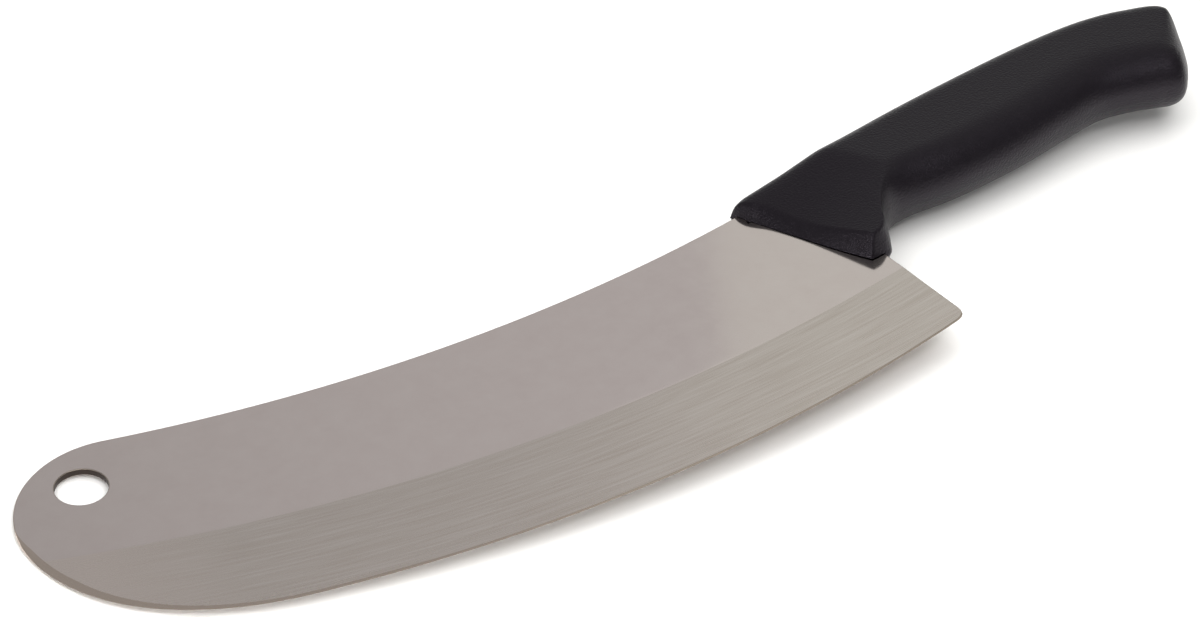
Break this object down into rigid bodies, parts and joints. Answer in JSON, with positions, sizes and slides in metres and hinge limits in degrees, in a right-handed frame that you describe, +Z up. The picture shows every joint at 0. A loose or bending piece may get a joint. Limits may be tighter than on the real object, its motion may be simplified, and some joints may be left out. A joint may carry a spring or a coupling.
{
  "type": "onion knife",
  "caption": "Wide curved stainless blade with a blunt rounded tip and a hanging hole, ground to an edge, with a black plastic handle moulded over its tang.",
  "frame": {"origin": "centre of the knife's box, on the surface that the knife lies on", "axes": "+X from the tip to the pommel, +Y from the cutting edge to the spine, +Z up out of the surface it lies on"},
  "size_m": [0.3628, 0.0954, 0.0245],
  "materials": {
    "blade_steel": "satin stainless, ground lengthwise beyond the grind line",
    "handle_plastic": "near-black moulded polypropylene, satin with a fine texture"
  },
  "bodies": {
    "root": {"blade": "blade_steel", "handle": "handle_plastic"}
  },
  "joints": []
}
